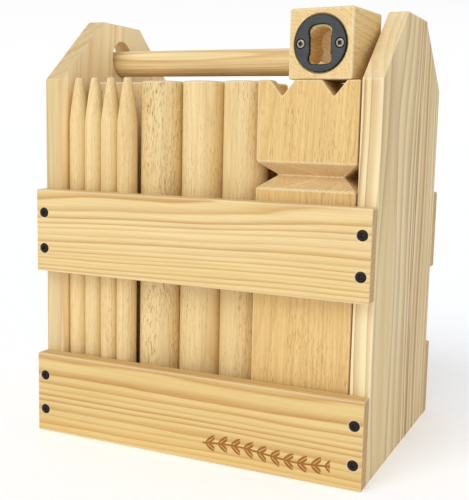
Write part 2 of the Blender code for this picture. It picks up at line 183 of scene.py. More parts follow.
def makeWood(name, look, grain, scorch=None):
    material, maker = newMaterial(name)
    place = maker.node("ShaderNodeTexCoord", out="Object")
    facing = maker.node("ShaderNodeTexCoord", out="Normal")
    toneAndPaintedLight = maker.attribute("toneAndPaintedLight", "Fac")
    wearAndPaintedLight = maker.attribute("wearAndPaintedLight", "Fac")
    inLog = maker.node("ShaderNodeMapping", {}, {
        "Vector": maker.vector("ADD", place, maker.attribute("logPlace", "Vector")),
        "Rotation": grainAlong[grain]})
    turnedFace = maker.node("ShaderNodeMapping", {}, {"Vector": facing, "Rotation": grainAlong[grain]})
    across, deep, along = maker.split(inLog)
    endFace = maker.fade(maker.split(turnedFace)[2].calc("ABSOLUTE"), 0.45, 0.74)

    # rings: the pith wanders slowly, and no two years are the same width or darkness
    slow = maker.split(maker.noise(inLog, (5.0, 5.0, look["driftLength"]), detail=1.0, out=1))
    ripple = maker.noise(inLog, (150.0, 150.0, 9.0), detail=2.0)
    ringX = across + (slow[0] - 0.5) * look["drift"]
    ringY = deep + (slow[1] - 0.5) * look["drift"]
    radius = (ringX * ringX + ringY * ringY) ** 0.5
    uneven = maker.noise(maker.join(radius, 0.0, 0.0), (70.0, 1.0, 1.0), detail=2.0)
    years = radius / look["ringWidth"] + (uneven - 0.5) * 3.0 + (ripple - 0.5) * 0.4
    darkness = maker.node("ShaderNodeTexWhiteNoise", {"noise_dimensions": "1D"},
                          {"W": years.calc("FLOOR") + 0.37})
    lateWood = maker.ramp(years.calc("FRACT"), (0.0, 0.25), (0.08, 0.0), (0.42, 0.10), (0.74, 0.6),
                          (0.92, 1.0), (1.0, 0.25)) * (darkness * 0.65 + 0.35)

    # fibres, honey patches and pores
    fibre = maker.noise(inLog, (900.0, 900.0, 14.0), detail=3.0) - 0.5
    streak = maker.noise(inLog, (190.0, 190.0, 3.0), detail=3.0) - 0.5
    patch = maker.fade(maker.noise(inLog, (22.0, 22.0, 4.0)), 0.38, 0.68)
    poreGroup = maker.fade(maker.noise(inLog, (60.0, 60.0, 9.0), detail=1.0), 0.22, 0.62)
    pores = maker.fade(maker.noise(inLog, (1500.0, 1500.0, 150.0), detail=1.0), 0.54, 0.70) * poreGroup

    rings = lateWood * (endFace * 0.3 + look["ringStrength"])
    longColour = maker.blend(rings, maker.blend(patch * 0.45, look["early"], look["honey"]), look["late"])
    endColour = maker.blend(rings, look["endEarly"], look["endLate"])
    colour = maker.blend(endFace * look["endTint"], longColour, endColour)
    colour = maker.blend(pores * look["pores"], colour, look["poreColour"])
    # this brightness carries the piece's own tone, and painted light or shade on the end panels' faces and on
    # the opener pocket's floor
    light = 1.0 + fibre * (look["fibre"] * 1.6) + streak * look["fibre"] + (toneAndPaintedLight - 0.5) * 0.16
    colour = maker.vector("MULTIPLY", colour, maker.join(light, light ** 1.25, light ** 1.7))
    # eased edges and stick ends are painted paler: partly wear, partly painted highlight
    colour = maker.blend(wearAndPaintedLight * 0.30, colour, shade(250, 236, 204))
    roughness = (look["roughness"] + lateWood * -0.08 + pores * 0.15 + streak * 0.12 + endFace * 0.15
                 + wearAndPaintedLight * -0.06)
    height = fibre * 0.5 + lateWood * 0.35 - pores * 0.8
    if scorch:
        mark = scorch(maker, place)
        char = maker.noise(place, (420.0, 420.0, 420.0), detail=3.0)
        burnt = maker.blend(char, sprig["dark"], sprig["light"])
        colour = maker.blend(mark * 0.93, colour, burnt)
        roughness = roughness + mark * 0.12
        height = height - mark * 0.8
    closeMaterial(maker, {"Base Color": colour, "Roughness": roughness, "Specular IOR Level": 0.28},
                  height, 0.35, 0.00025)
    return material


sprig = {"from": 0.016, "to": 0.137, "height": 0.018, "leafPitch": 0.0125, "leafLength": 0.0062,
         "leafWidth": 0.0026, "leafAngle": 38, "stem": 0.0011, "bow": 0.0022, "frontY": -0.1215,
         "light": shade(172, 108, 32), "dark": shade(128, 74, 16)}


def sprigMark(maker, place):                  # a burnt leaf sprig on the low front slat
    x, y, z = maker.split(place)
    turns = math.tau / (sprig["to"] - sprig["from"])
    rise = ((x - sprig["from"]) * turns).calc("SINE") * sprig["bow"]
    above = z - sprig["height"] - rise
    folded = above.calc("ABSOLUTE")
    step = ((x - sprig["from"]) / sprig["leafPitch"]).calc("FRACT") * sprig["leafPitch"]
    angle = math.radians(sprig["leafAngle"])
    inX = step - 0.35 * sprig["leafPitch"]
    lengthwise = (inX * math.cos(angle) + folded * math.sin(angle)) - sprig["leafLength"] * 0.85
    sideways = folded * math.cos(angle) - inX * math.sin(angle)
    ring = (lengthwise / sprig["leafLength"]) ** 2.0 + (sideways / sprig["leafWidth"]) ** 2.0
    leaf = 1.0 - maker.fade(ring, 0.75, 1.15)
    vein = maker.fade(sideways.calc("ABSOLUTE"), 0.0001, 0.00045)
    stem = 1.0 - maker.fade(folded, sprig["stem"] * 0.6, sprig["stem"])
    span = maker.fade(x, sprig["from"], sprig["from"] + 0.001)
    span = span * (1.0 - maker.fade(x, sprig["to"] - 0.001, sprig["to"]))
    frontFace = 1.0 - maker.fade(y, sprig["frontY"], sprig["frontY"] + 0.0005)
    return (leaf * vein).calc("MAXIMUM", stem) * span * frontFace


# marked is the colour of the marked faces, and markShare how strong it is there: painted shade on the plate's
# rim and in the brass screws' crosses, paler wear and painted highlight in the black screws' crosses
def makeMetal(name, dark, light, marked, markShare, metallic, roughness, cloud):
    material, maker = newMaterial(name)
    place = maker.node("ShaderNodeTexCoord", out="Object")
    mottle = maker.noise(place, (cloud,) * 3, detail=3.0)
    brushed = maker.noise(place, (500.0, 500.0, 6000.0))
    colour = maker.blend(mottle, dark, light)
    colour = maker.blend(maker.attribute("wearAndPaintedLight", "Fac") * markShare, colour, marked)
    closeMaterial(maker, {"Base Color": colour, "Roughness": brushed * 0.20 + mottle * 0.14 + roughness,
                          "Metallic": metallic}, mottle * 0.6 + brushed * 0.4, 0.13, 0.00009)
    return material


slatPine = makeWood("slatPine", slatLook, "x")
lowSlatPine = makeWood("lowSlatPine", lowSlatLook, "x", scorch=sprigMark)
floorPine = makeWood("floorPine", panelLook, "x")
cleatPine = makeWood("cleatPine", panelLook, "y")
panelPine = makeWood("panelPine", panelLook, "z")
quietPanelPine = makeWood("quietPanelPine", quietPanelLook, "z")
dowelPine = makeWood("dowelPine", dowelLook, "x")
hardwood = makeWood("gameHardwood", hardwoodLook, "z")
smoothHardwood = makeWood("smoothHardwood", smoothLook, "z")
fleckedHardwood = makeWood("fleckedHardwood", fleckedLook, "z")
kingWood = makeWood("kingWood", kingLook, "z")
openerWood = makeWood("openerWood", openerLook, "y")
# the cross recess of these screws is painted paler: partly wear, partly painted highlight
blackPhosphate = makeMetal("blackPhosphate", shade(15, 11, 9), shade(40, 32, 26), shade(104, 96, 88), 0.40,
                           metallic=0.5, roughness=0.30, cloud=900.0)
# the plate's marked faces get painted shade, dark like the gap round the plate
gunmetal = makeMetal("gunmetal", shade(56, 59, 60), shade(86, 89, 90), shade(18, 16, 14), 0.90,
                     metallic=0.6, roughness=0.32, cloud=110.0)
# the cross recess of these screws gets painted shade
dullBrass = makeMetal("dullBrass", shade(150, 138, 118), shade(186, 174, 152), shade(22, 17, 12), 0.85,
                      metallic=0.6, roughness=0.28, cloud=900.0)
print("finishes made")


def newTree(name, *sockets):                  # a geometry tree with named inputs: (name, kind, value)
    tree = bpy.data.node_groups.new(name, "GeometryNodeTree")
    tree.interface.new_socket("Geometry", in_out="INPUT", socket_type="NodeSocketGeometry")
    for label, kind, value in sockets:
        socket = tree.interface.new_socket(label, in_out="INPUT", socket_type=f"NodeSocket{kind}")
        if value is not None:
            socket.default_value = value
    tree.interface.new_socket("Geometry", in_out="OUTPUT", socket_type="NodeSocketGeometry")
    maker = Maker(tree)
    entry = tree.nodes.new("NodeGroupInput")
    return tree, maker, {socket.name: Wire(maker, socket) for socket in entry.outputs if socket.name}


def closeTree(maker, geometry, finish):
    whole = maker.node("GeometryNodeRealizeInstances", {}, {"Geometry": geometry})
    painted = maker.node("GeometryNodeSetMaterial", {}, {"Geometry": whole, "Material": finish})
    maker.finish("NodeGroupOutput", painted)


def newObject(name, mesh):
    made = bpy.data.objects.new(name, mesh)
    scene.collection.objects.link(made)
    return made


def plainMesh(holder):                        # what the modifiers make, without them
    evaluated = holder.evaluated_get(bpy.context.evaluated_depsgraph_get())
    mesh = bpy.data.meshes.new_from_object(evaluated)
    holder.modifiers.clear()
    holder.data = mesh
    return mesh


def grow(name, tree, values, points=None):    # runs a tree and keeps its result as a plain piece
    piece = newObject(name, points or bpy.data.meshes.new(name))
    modifier = piece.modifiers.new("shape", "NODES")
    modifier.node_group = tree
    for item in tree.interface.items_tree:
        if item.item_type == "SOCKET" and item.in_out == "INPUT" and item.name in values:
            modifier[item.identifier] = values[item.name]
    mesh = plainMesh(piece)
    mesh.materials.clear()
    mesh.materials.append(values["Finish"])   # a cut leaves an empty slot in front of the finish
    for face in mesh.polygons:
        face.material_index = 0
    return piece


def pointsMesh(name, places):                 # (place, aim) pairs
    mesh = bpy.data.meshes.new(name)
    mesh.from_pydata([place for place, aim in places], [], [])
    aims = mesh.attributes.new("aim", "FLOAT_VECTOR", "POINT")
    for entry, (place, aim) in zip(aims.data, places):
        entry.vector = aim
    return mesh


def easeEdges(piece, width, segments=3, angle=35):
    mesh = piece.data
    finish = mesh.materials[0]
    mesh.materials.append(finish)             # the second slot tells the new faces apart
    mesh.shade_smooth()
    bevel = piece.modifiers.new("easedEdges", "BEVEL")
    bevel.width, bevel.segments, bevel.angle_limit = width, segments, math.radians(angle)
    bevel.harden_normals, bevel.material = True, 1
    mesh = plainMesh(piece)
    # the bevel faces are marked, to be painted paler by wear and by painted highlight
    markWearAndPaintedLight(mesh, lambda face: face.material_index == 1)
    for face in mesh.polygons:
        face.material_index = 0
    mesh.materials.pop(index=1)


def markWearAndPaintedLight(mesh, worn):
    wearAndPaintedLight = mesh.attributes.get("wearAndPaintedLight") or mesh.attributes.new("wearAndPaintedLight", "FLOAT", "FACE")
    wearAndPaintedLight.data.foreach_set("value", [float(worn(face)) for face in mesh.polygons])


# pith is a point on the pith line, in the frame; the last value is one number or a rule that takes a face,
# and sets the piece's own tone and, on some faces, painted light or shade
def placeInLog(piece, pith, toneAndPaintedLight=0.5):
    mesh = piece.data
    count = len(mesh.vertices)
    logPlace = mesh.attributes.new("logPlace", "FLOAT_VECTOR", "POINT")
    logPlace.data.foreach_set("vector", [-part for part in pith] * count)
    tonesAndPaintedLight = [toneAndPaintedLight(face) if callable(toneAndPaintedLight) else toneAndPaintedLight for face in mesh.polygons]
    mesh.attributes.new("toneAndPaintedLight", "FLOAT", "FACE").data.foreach_set("value", tonesAndPaintedLight)


def carve(piece, *cutters):                   # cuts plain meshes out of a piece
    for mesh in cutters:
        cutter = newObject("cutter", mesh)
        tool = piece.modifiers.new("carve", "BOOLEAN")
        tool.operation, tool.solver, tool.object = "DIFFERENCE", "EXACT", cutter
        plainMesh(piece)
        bpy.data.objects.remove(cutter, do_unlink=True)


def solidMesh(name, finish, build):           # build adds to a bmesh
    mesh = bpy.data.meshes.new(name)
    shape = bmesh.new()
    build(shape)
    bmesh.ops.recalc_face_normals(shape, faces=shape.faces)
    shape.to_mesh(mesh)
    shape.free()
    if finish:
        mesh.materials.append(finish)
    return mesh


def prism(name, finish, outline, axis, start, end):   # a flat outline pushed along x or y
    def build(shape):
        def corner(a, b, reach):
            return (reach, a, b) if axis == "x" else (a, reach, b)
        ends = [[shape.verts.new(corner(a, b, reach)) for a, b in outline] for reach in (start, end)]
        shape.faces.new(ends[0])
        shape.faces.new(ends[1])
        for i in range(len(outline)):
            j = (i + 1) % len(outline)
            shape.faces.new((ends[0][i], ends[0][j], ends[1][j], ends[1][i]))
    return solidMesh(name, finish, build)


def circle(middle, radius, steps):
    return [(middle[0] + radius * math.cos(math.tau * i / steps),
             middle[1] + radius * math.sin(math.tau * i / steps)) for i in range(steps)]


def boxMesh(name, finish, low, high):
    outline = [(low[1], low[2]), (high[1], low[2]), (high[1], high[2]), (low[1], high[2])]
    return prism(name, finish, outline, "x", low[0], high[0])


def keep(piece, body, slot, *nodes):
    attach(piece, body)
    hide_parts(*nodes)


overshoot = 0.01                              # of a cutter past the face that it opens

# Screws: one head is turned and cut, and a tree sets it on the screw places, each turned by chance.
screw = {"headRadius": 0.0044, "headDepth": 0.003, "shankRadius": 0.002, "length": 0.040, "dome": 0.0004,
         "crossLength": 0.0046, "crossWidth": 0.0011, "crossDepth": 0.0014, "sink": 0.0004}


def screwShape(size, name="screwShape"):
    radius, depth = size["headRadius"], size["headDepth"]
    profile = [(0.0, size["dome"]), (radius * 0.5, size["dome"] * 0.8), (radius * 0.85, size["dome"] * 0.3),
               (radius, -0.0002), (radius * 0.97, -0.0006), (size["shankRadius"], -depth),
               (size["shankRadius"], 2 * size["shankRadius"] - size["length"]), (0.0, -size["length"])]

    def build(shape):
        steps = 28
        rings = []
        for r, z in profile:
            if r == 0.0:
                rings.append([shape.verts.new((0, 0, z))] * steps)
            else:
                rings.append([shape.verts.new((r * math.cos(math.tau * i / steps),
                                               r * math.sin(math.tau * i / steps), z)) for i in range(steps)])
        for high, low in zip(rings, rings[1:]):
            for i in range(steps):
                j = (i + 1) % steps
                corners = list(dict.fromkeys((high[i], low[i], low[j], high[j])))
                shape.faces.new(corners)
    piece = newObject(name, solidMesh(name, None, build))
    half, wide, deep = size["crossLength"] / 2, size["crossWidth"] / 2, size["crossDepth"]
    top = size["dome"] + 0.001
    carve(piece, boxMesh("bar", None, (-half, -wide, -deep), (half, wide, top)),
          boxMesh("bar", None, (-wide, -half, -deep), (wide, half, top)))
    # the cross recess faces are marked: painted shade on the brass screws, paler wear and painted highlight
    # on the black ones
    markWearAndPaintedLight(piece.data, lambda face: math.hypot(*face.center.xy) < half and face.center.z < 0.0003)
    piece.data.shade_smooth()
    piece.data.set_sharp_from_angle(angle=math.radians(35))
    return piece


def makeScrewTree():
    tree, maker, given = newTree("screwsOnPlaces", ("Screw", "Object", None), ("Sink", "Float", 0.0002),
                                 ("Seed", "Int", 7), ("Finish", "Material", None))
    shape = maker.node("GeometryNodeObjectInfo", {}, {"Object": given["Screw"]}, out="Geometry")
    aim = maker.node("GeometryNodeInputNamedAttribute", {"data_type": "FLOAT_VECTOR"}, {"Name": "aim"})
    upright = maker.node("FunctionNodeAlignRotationToVector", {"axis": "Z"},
                         {"Vector": maker.vector("MULTIPLY", aim, (-1.0, -1.0, -1.0))})
    chance = maker.node("FunctionNodeRandomValue", {"data_type": "FLOAT"},
                        {2: 0.0, 3: math.tau, "Seed": given["Seed"]}, out=1)
    spin = maker.node("FunctionNodeEulerToRotation", {}, [maker.join(0.0, 0.0, chance)])
    turned = maker.node("FunctionNodeRotateRotation", {"rotation_space": "LOCAL"},
                        {"Rotation": upright, "Rotate By": spin})
    sunk = maker.node("GeometryNodeSetPosition", {}, {
        "Geometry": given["Geometry"],
        "Offset": maker.vector("MULTIPLY", aim, maker.join(given["Sink"], given["Sink"], given["Sink"]))})
    placed = maker.node("GeometryNodeInstanceOnPoints", {}, {"Points": sunk, "Instance": shape,
                                                            "Rotation": turned})
    closeTree(maker, placed, given["Finish"])
    return tree


screwTree = makeScrewTree()


def setScrews(name, size, places, seed, finish=blackPhosphate):
    shape = screwShape(size)
    piece = grow(name, screwTree, {"Screw": shape, "Sink": size["sink"], "Seed": seed, "Finish": finish},
                 pointsMesh(name, places))
    bpy.data.objects.remove(shape, do_unlink=True)
    return piece


crate = {"width": 0.328, "panelThickness": 0.018, "depth": 0.214, "shoulder": 0.340, "peak": 0.401,
         "peakFlat": 0.070, "edge": 0.0012, "gap": 0.0003}
slat = {"thickness": 0.015, "height": 0.078, "lowBase": 0.0, "highBase": 0.159, "edge": 0.0012,
        "screwInset": 0.008, "screwSpread": 0.017, "holeGap": 0.0002, "holeDepth": 0.0034}
panelInside = crate["width"] / 2 - crate["panelThickness"]


def makeSlatTree():                           # a board with a sunk hole at each point
    tree, maker, given = newTree(
        "drilledBoard", ("Size", "Vector", (0.3, 0.015, 0.078)), ("Middle", "Vector", (0.0, 0.0, 0.0)),
        ("Hole Radius", "Float", 0.005), ("Hole Depth", "Float", 0.004), ("Finish", "Material", None))
    board = maker.node("GeometryNodeMeshCube", {}, {"Size": given["Size"]})
    board = maker.node("GeometryNodeSetPosition", {}, {"Geometry": board, "Offset": given["Middle"]})
    drill = maker.node("GeometryNodeMeshCylinder", {}, {
        "Vertices": 36, "Radius": given["Hole Radius"], "Depth": given["Hole Depth"] * 2.0})
    aim = maker.node("GeometryNodeInputNamedAttribute", {"data_type": "FLOAT_VECTOR"}, {"Name": "aim"})
    along = maker.node("FunctionNodeAlignRotationToVector", {"axis": "Z"}, {"Vector": aim})
    drills = maker.node("GeometryNodeInstanceOnPoints", {}, {"Points": given["Geometry"], "Instance": drill,
                                                            "Rotation": along})
    drills = maker.node("GeometryNodeRealizeInstances", {}, {"Geometry": drills})
    drilled = maker.node("GeometryNodeMeshBoolean", {"operation": "DIFFERENCE", "solver": "EXACT"},
                         {0: board, 1: drills})
    closeTree(maker, drilled, given["Finish"])
    return tree


boardTree = makeSlatTree()


def slatScrewPlaces(side, base):              # side -1 is the front
    outer = side * (crate["depth"] / 2 + slat["thickness"])
    middle = base + slat["height"] / 2
    reach = crate["width"] / 2 - slat["screwInset"]
    return [((x, outer, middle + z), (0, -side, 0)) for x in (-reach, reach)
            for z in (-slat["screwSpread"], slat["screwSpread"])]


# The pith of each slat: where along it the chance patterns start, how far in front of the slat, how high
slatPiths = {"front_lower": (7.7, -0.262, 0.112), "front_upper": (3.1, -0.192, 0.246),
             "rear_lower": (12.3, 0.215, 0.020), "rear_upper": (16.9, 0.060, 0.262)}


def makeSlats():
    allPlaces = []
    for face, side in (("front", -1), ("rear", 1)):
        for level in ("lower", "upper"):
            name = f"{face}_{level}"
            base = slat["lowBase"] if level == "lower" else slat["highBase"]
            places = slatScrewPlaces(side, base)
            allPlaces += places
            finish = lowSlatPine if name == "front_lower" else slatPine
            board = grow(f"{name}_slat_board", boardTree, {
                "Size": (crate["width"], slat["thickness"], slat["height"]),
                "Middle": (0, side * (crate["depth"] + slat["thickness"]) / 2, base + slat["height"] / 2),
                "Hole Radius": screw["headRadius"] + slat["holeGap"], "Hole Depth": slat["holeDepth"],
                "Finish": finish,
            }, pointsMesh(name, places))
            easeEdges(board, slat["edge"])
            placeInLog(board, slatPiths[name])
            keep(board, "crate", "slat_pine", f"{name}_slat")
    screws = setScrews("slat_screws", screw, allPlaces, seed=5)
    keep(screws, "crate", "black_screw", *[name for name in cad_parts
                                           if "_screw_" in name and name.startswith(("front_", "rear_"))])


makeSlats()
print("slats and their screws made")

handle = {"radius": 0.013, "height": 0.362, "hole": 0.018, "socket": 0.010, "recess": 0.0005, "edge": 0.0015,
          "holeSides": 72, "socketSides": 64, "unevenness": 0.0003, "sides": 64}
# Of each end panel: its pith, and the painted light, brighter or darker, laid on its faces outside, inside
# and on the edges
panelGrain = {"left": ((-0.262, 0.030, 20.0), -0.1, 2.4, -0.3),
              "right": ((0.250, -0.060, 22.0), -0.1, 2.4, 0.9)}


def makePanels():
    half, flat = crate["depth"] / 2 - crate["gap"], crate["peakFlat"] / 2
    outline = [(-half, 0), (half, 0), (half, crate["shoulder"]), (flat, crate["peak"]),
               (-flat, crate["peak"]), (-half, crate["shoulder"])]
    for end, side, pine in (("left", -1, quietPanelPine), ("right", 1, panelPine)):
        outer = side * crate["width"] / 2
        board = prism("board", pine, outline, "x", outer, side * panelInside)
        panel = newObject(f"{end}_gabled_board", board)
        if side < 0:                          # a wide hole right through, which the dowel rests in
            middle = (0, handle["height"] + handle["hole"] - handle["radius"] - crate["gap"])
            bore = prism("bore", None, circle(middle, handle["hole"], handle["holeSides"]), "x",
                         outer - overshoot, -panelInside + overshoot)
        else:                                 # a socket from the inside
            socketEdge = circle((0, handle["height"]), handle["radius"] + crate["gap"],
                                handle["socketSides"])
            bore = prism("bore", None, socketEdge, "x", panelInside - overshoot,
                         panelInside + handle["socket"])
        carve(panel, bore)
        easeEdges(panel, crate["edge"])
        pith, paintedLightOutside, paintedLightInside, paintedLightEdges = panelGrain[end]

        # painted light and shade: each face of the panel is made lighter or darker by the way it faces
        def paintedLightOf(face):
            facing = face.normal.x * side
            return paintedLightOutside if facing > 0.9 else paintedLightInside if facing < -0.9 else paintedLightEdges
        placeInLog(panel, pith, paintedLightOf)
        keep(panel, "crate", "end_panel_pine", f"{end}_end_panel")


makePanels()
print("end panels made")

floorBoard = {"top": 0.039, "thickness": 0.012, "cleatWidth": 0.018, "cleatHeight": 0.018,
              "cleatLength": 0.200, "cleatScrewY": 0.070, "floorScrewY": 0.035, "edge": 0.0010,
              "holeGap": 0.0004, "holeDepth": 0.003}
smallScrew = dict(screw, headRadius=0.0040, headDepth=0.0025, shankRadius=0.0018, length=0.030,
                  crossLength=0.0040, crossWidth=0.0010)
floorScrew = dict(smallScrew, length=0.025, dome=0.0002, sink=0.0002)


def makeFloor():
    gap, top, thick = crate["gap"], floorBoard["top"], floorBoard["thickness"]
    cleatTop = top - thick - gap
    x = panelInside - gap - floorBoard["cleatWidth"] / 2
    downPlaces = [((side * x, sideY * floorBoard["floorScrewY"], top), (0, 0, -1))
                  for side in (-1, 1) for sideY in (-1, 1)]
    board = grow("floor_plank", boardTree, {
        "Size": (2 * (panelInside - gap), crate["depth"] - 2 * gap, thick), "Middle": (0, 0, top - thick / 2),
        "Hole Radius": floorScrew["headRadius"] + floorBoard["holeGap"],
        "Hole Depth": floorBoard["holeDepth"], "Finish": floorPine,
    }, pointsMesh("floor", downPlaces))
    easeEdges(board, floorBoard["edge"], 2)
    placeInLog(board, (33.0, 0.02, 0.16))
    keep(board, "crate", "floor_pine", "floor_board")
    sidePlaces = []
    for end, side in (("left", -1), ("right", 1)):
        inner = side * (panelInside - gap - floorBoard["cleatWidth"])
        places = [((inner, sideY * floorBoard["cleatScrewY"], cleatTop - floorBoard["cleatHeight"] / 2),
                   (side, 0, 0)) for sideY in (-1, 1)]
        sidePlaces += places
        cleat = grow(f"{end}_cleat_strip", boardTree, {
            "Size": (floorBoard["cleatWidth"], floorBoard["cleatLength"], floorBoard["cleatHeight"]),
            "Middle": (side * x, 0, cleatTop - floorBoard["cleatHeight"] / 2),
            "Hole Radius": smallScrew["headRadius"] + floorBoard["holeGap"],
            "Hole Depth": floorBoard["holeDepth"], "Finish": cleatPine,
        }, pointsMesh("cleat", places))
        easeEdges(cleat, floorBoard["edge"], 2)
        placeInLog(cleat, (side * 0.13, 41.0 + side, 0.06))
        keep(cleat, "crate", "floor_pine", f"floor_cleat_{end}")
    keep(setScrews("cleat_screws", smallScrew, sidePlaces, seed=11), "crate", "black_screw",
         *[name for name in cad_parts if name.startswith("cleat_screw")])
    keep(setScrews("floor_screws", floorScrew, downPlaces, seed=12), "crate", "black_screw",
         *[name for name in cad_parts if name.startswith("floor_screw")])


makeFloor()
print("floor made")


def makeStickTree():                          # a turned stick: eased foot, straight shaft, tapered head
    tree, maker, given = newTree(
        "turnedStick", ("Radius", "Float", 0.02), ("Length", "Float", 0.3), ("Edge", "Float", 0.0018),
        ("Tip Radius", "Float", 0.02), ("Taper", "Float", 0.02), ("Belly", "Float", 0.0),
        ("Place", "Vector", (0.0, 0.0, 0.0)), ("Unevenness", "Float", 0.0002), ("Sides", "Int", 56),
        ("Finish", "Material", None))
    tube = maker.node("GeometryNodeMeshCylinder", {"fill_type": "NGON"}, {
        "Vertices": given["Sides"], "Side Segments": 50, "Radius": 1.0, "Depth": 1.0})
    x, y, z = maker.split(maker.node("GeometryNodeInputPosition"))
    t = z + 0.5

    def part(low, high):                      # how far t has gone from low to high, 0 to 1
        return ((t - low) / (high - low)).calc("MAXIMUM", 0.0).calc("MINIMUM", 1.0)
    edge, radius, tip, taper = given["Edge"], given["Radius"], given["Tip Radius"], given["Taper"]
    foot, shaft, cone, rim = part(0.0, 0.12), part(0.12, 0.50), part(0.50, 0.86), part(0.86, 1.0)
    footTurn, rimTurn = foot * (math.pi / 2), rim * (math.pi / 2)
    height = (edge * (1.0 - footTurn.calc("COSINE")) + shaft * (given["Length"] - taper - edge - edge)
              + cone * taper + edge * rimTurn.calc("SINE"))
    wide = (radius - edge * (1.0 - footTurn.calc("SINE")) - (radius - tip) * cone
            + given["Belly"] * (cone * math.pi).calc("SINE") - edge * (1.0 - rimTurn.calc("COSINE")))
    spot = maker.vector("ADD", maker.join(x * 0.03, y * 0.03, height), given["Place"])
    uneven = maker.noise(spot, (22.0, 22.0, 11.0), detail=1.0) - 0.6
    wide = wide + uneven * given["Unevenness"]
    moved = maker.vector("ADD", maker.join(x * wide, y * wide, height), given["Place"])
    shaped = maker.node("GeometryNodeSetPosition", {}, {"Geometry": tube, "Position": moved})
    facing = maker.split(maker.node("GeometryNodeInputNormal"))[2].calc("ABSOLUTE")
    smooth = maker.node("GeometryNodeSetShadeSmooth", {}, {"Geometry": shaped,
                                                          "Selection": facing.calc("LESS_THAN", 0.995)})
    closeTree(maker, smooth, given["Finish"])
    return tree


stickTree = makeStickTree()
gameBase = floorBoard["top"] + crate["gap"]
baton = {"radius": 0.0205, "length": 0.300, "edge": 0.0022, "clearance": 0.0004,
         "frontGaps": (0.005, 0.008, 0.008), "unevenness": 0.0003, "sides": 72}
stake = {"radius": 0.0095, "length": 0.303, "tip": 0.0037, "taper": 0.041, "belly": 0.0005, "edge": 0.0012,
         "pitch": 0.0190, "frontGaps": (0.0058, 0.0040, 0.0022, 0.0004), "unevenness": 0.0002, "sides": 48}
bluntTaper = 0.1                              # a stick that keeps its width needs some length here
king = {"width": 0.090, "height": 0.300, "sideGap": 0.002, "frontGap": 0.003, "neckTop": 0.231,
        "neckHeight": 0.0225, "neckDepth": 0.015, "notchX": 0.0228, "notchWidth": 0.022,
        "notchDepth": 0.0135, "notchOver": 0.002, "toothDepth": 0.0136, "edge": 0.0014}


# the faces near a stick's ends are marked, to be painted paler by wear and by painted highlight
def wornAndHighlitEnds(piece, low, high, reach):
    markWearAndPaintedLight(piece.data, lambda face: (face.center.z < low + reach or face.center.z > high - reach)
             and abs(face.normal.z) < 0.98)


# For each baton: pith to the side and behind, chance start along the grain, tone
batonGrain = ((0.004, 0.024, 51.2, 0.45), (-0.05, 0.05, 57.7, 0.62), (0.012, 0.040, 61.4, 0.50),
              (0.03, -0.01, 66.1, 0.40), (-0.02, 0.03, 71.5, 0.55), (0.015, 0.03, 76.3, 0.5))
stakeGrain = ((0.02, 0.03, 81.2, 0.66), (-0.03, 0.02, 84.4, 0.6), (0.015, 0.04, 87.1, 0.55),
              (0.04, 0.03, 91.6, 0.6))


def makeSticks():
    spacing = 2 * baton["radius"] + baton["clearance"]
    lastX = panelInside - king["sideGap"] - king["width"] - baton["clearance"] - baton["radius"]
    for number, (sideways, behind, along, toneAndPaintedLight) in enumerate(batonGrain):
        row, column = divmod(number, 3)
        x = lastX - (2 - column) * spacing
        y = -crate["depth"] / 2 + baton["frontGaps"][column] + baton["radius"] + row * spacing
        piece = grow(f"throwing_baton_{number + 1}", stickTree, {
            "Radius": baton["radius"], "Length": baton["length"], "Edge": baton["edge"],
            "Tip Radius": baton["radius"], "Taper": bluntTaper, "Belly": 0.0, "Place": (x, y, gameBase),
            "Unevenness": baton["unevenness"], "Sides": baton["sides"],
            "Finish": hardwood if number else fleckedHardwood})
        wornAndHighlitEnds(piece, gameBase, gameBase + baton["length"], baton["edge"])
        placeInLog(piece, (x + sideways, y + behind, along), toneAndPaintedLight)
        keep(piece, f"baton_{number + 1}", "game_hardwood", f"baton_{number + 1}")
    for number, (sideways, behind, along, toneAndPaintedLight) in enumerate(stakeGrain):
        x = -panelInside + stake["radius"] + crate["gap"] + number * stake["pitch"]
        y = -crate["depth"] / 2 + stake["frontGaps"][number] + stake["radius"]
        piece = grow(f"pointed_stake_{number + 1}", stickTree, {
            "Radius": stake["radius"], "Length": stake["length"], "Edge": stake["edge"],
            "Tip Radius": stake["tip"], "Taper": stake["taper"], "Belly": stake["belly"],
            "Place": (x, y, gameBase), "Unevenness": stake["unevenness"], "Sides": stake["sides"],
            "Finish": smoothHardwood})
        wornAndHighlitEnds(piece, gameBase, gameBase + stake["length"], stake["edge"])
        placeInLog(piece, (x + sideways, y + behind, along), toneAndPaintedLight)
        keep(piece, f"stake_{number + 1}", "game_hardwood", f"corner_stake_{number + 1}")


makeSticks()


def makeHandle():
    left = -crate["width"] / 2 + handle["recess"]
    right = panelInside + handle["socket"] - crate["gap"]
    piece = grow("carry_dowel", stickTree, {
        "Radius": handle["radius"], "Length": right - left, "Edge": handle["edge"],
        "Tip Radius": handle["radius"], "Taper": bluntTaper, "Belly": 0.0, "Place": (0.0, 0.0, 0.0),
        "Unevenness": handle["unevenness"], "Sides": handle["sides"], "Finish": dowelPine})
    wornAndHighlitEnds(piece, 0.0, right - left, handle["edge"])
    lying = Matrix.Translation((left, 0, handle["height"])) @ Matrix.Rotation(math.pi / 2, 4, "Y")
    piece.data.transform(lying)
    placeInLog(piece, (97.3, 0.05, handle["height"] - 0.03), 0.9)
    keep(piece, "handle", "handle_wood", "handle_dowel")


makeHandle()
print("batons, stakes and handle made")


